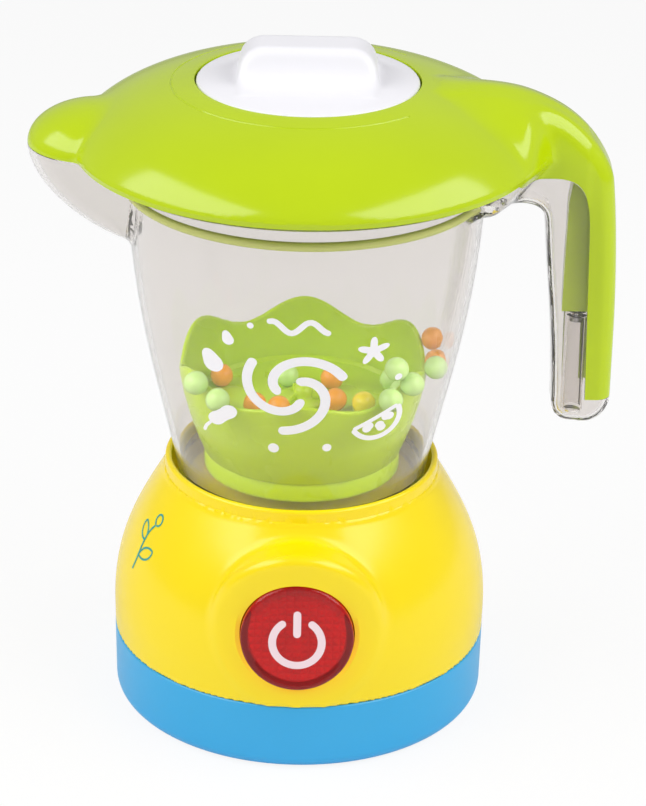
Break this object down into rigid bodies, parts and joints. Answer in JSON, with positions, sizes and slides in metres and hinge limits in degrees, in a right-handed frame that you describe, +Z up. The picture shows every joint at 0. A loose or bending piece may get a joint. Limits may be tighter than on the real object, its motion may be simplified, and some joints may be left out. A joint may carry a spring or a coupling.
{
  "type": "toy blender",
  "caption": "Toy blender: round base with a big light-up push button, clear lift-off jug with lidded spout and handle, turning knob, wavy bowl with loose balls stirred by a motor-driven rotor.",
  "frame": {"origin": "centre of the base on the surface it stands on", "axes": "+Z up, the button to the front (-Y), the spout to the left (-X), the handle to the right (+X)"},
  "size_m": [0.1989, 0.1572, 0.2394],
  "materials": {
    "tray_blue": "smooth moulded",
    "housing_yellow": "smooth moulded",
    "lime": "smooth moulded",
    "clear_plastic": "clear moulded plastic",
    "white_plastic": "smooth moulded",
    "natural_plastic": "moulded gear plastic",
    "button_red": "translucent, smooth",
    "black_plastic": "moulded",
    "steel": "plain",
    "brass": "turned",
    "board_green": "circuit board",
    "lamp": "diffused",
    "ball_green": "pearl",
    "ball_orange": "gloss",
    "ball_yellow": "gloss"
  },
  "bodies": {
    "base": {"base_tray": "tray_blue", "base_housing": "housing_yellow", "battery_door": "tray_blue", "door_screw": "steel", "battery_cells": "steel", "battery_contacts": "steel", "housing_screws": "steel", "speaker": "black_plastic", "sound_board": "board_green", "board_screws": "steel", "power_switch": "black_plastic", "button_spring": "steel", "button_board": "board_green", "button_board_screws": "steel", "button_lamps": "lamp", "push_switch": "black_plastic", "gearbox_plate": "natural_plastic", "gearbox_cover": "natural_plastic", "gearbox_screws": "steel", "motor": "steel", "motor_screws": "steel", "idler_pin": "steel"},
    "power_slider": {"power_slider": "black_plastic"},
    "button": {"button_cap": "button_red"},
    "plunger": {"switch_plunger": "white_plastic"},
    "motor_rotor": {"motor_pinion": "natural_plastic"},
    "idler": {"idler_gear": "natural_plastic"},
    "output": {"output_gear": "natural_plastic", "drive_shaft": "steel", "drive_coupling": "white_plastic"},
    "jug": {"jug_shell": "clear_plastic", "bowl_insert": "lime", "bowl_screws": "steel", "rotor_bush": "brass", "rim_balls_green": "ball_green", "rim_balls_orange": "ball_orange", "lid": "lime", "handle_screw": "steel", "knob_click_spring": "steel"},
    "rotor": {"rotor": "lime", "rotor_shaft": "steel", "driven_coupling": "white_plastic"},
    "balls": {"balls_green": "ball_green", "balls_orange": "ball_orange", "ball_yellow": "ball_yellow"},
    "knob": {"knob": "white_plastic", "knob_ratchet": "natural_plastic", "knob_screw": "steel"}
  },
  "joints": [
    {"name": "button_press", "type": "slide", "parent": "base", "child": "button", "axis": [0, 0.9962, -0.0872], "range_m": [0, 0.0025], "stiffness_N_per_m": 300, "springref_m": -0.001, "deforming": ["button_spring"]},
    {"name": "plunger_press", "type": "slide", "parent": "base", "child": "plunger", "axis": [0, 0.9962, -0.0872], "range_m": [0, 0.0025]},
    {"name": "power_slide", "type": "slide", "parent": "base", "child": "power_slider", "axis": [0, 1, 0], "range_m": [0, 0.004]},
    {"name": "output_spin", "type": "hinge", "parent": "base", "child": "output", "pos_m": [0, 0, 0.07], "axis": [0, 0, 1], "continuous": true},
    {"name": "idler_spin", "type": "hinge", "parent": "base", "child": "idler", "pos_m": [0, 0.0192, 0.065], "axis": [0, 0, 1], "continuous": true},
    {"name": "motor_spin", "type": "hinge", "parent": "base", "child": "motor_rotor", "pos_m": [0.016, 0.0192, 0.062], "axis": [0, 0, 1], "continuous": true},
    {"name": "jug_lift", "type": "slide", "parent": "base", "child": "jug", "axis": [0, 0, 1], "range_m": [0, 0.08]},
    {"name": "rotor_spin", "type": "hinge", "parent": "jug", "child": "rotor", "pos_m": [0, 0, 0.1], "axis": [0, 0, 1], "continuous": true},
    {"name": "ball_swirl", "type": "hinge", "parent": "jug", "child": "balls", "pos_m": [0, 0, 0.1135], "axis": [0, 0, 1], "continuous": true},
    {"name": "knob_turn", "type": "hinge", "parent": "jug", "child": "knob", "pos_m": [0, 0, 0.2264], "axis": [0, 0, 1], "continuous": true}
  ],
  "couplings": [
    {"joint": "plunger_press", "follows": "button_press", "ratio": 1},
    {"joint": "idler_spin", "follows": "output_spin", "ratio": -3},
    {"joint": "motor_spin", "follows": "output_spin", "ratio": 9},
    {"joint": "rotor_spin", "follows": "output_spin", "ratio": 1},
    {"joint": "ball_swirl", "follows": "output_spin", "ratio": 1}
  ]
}
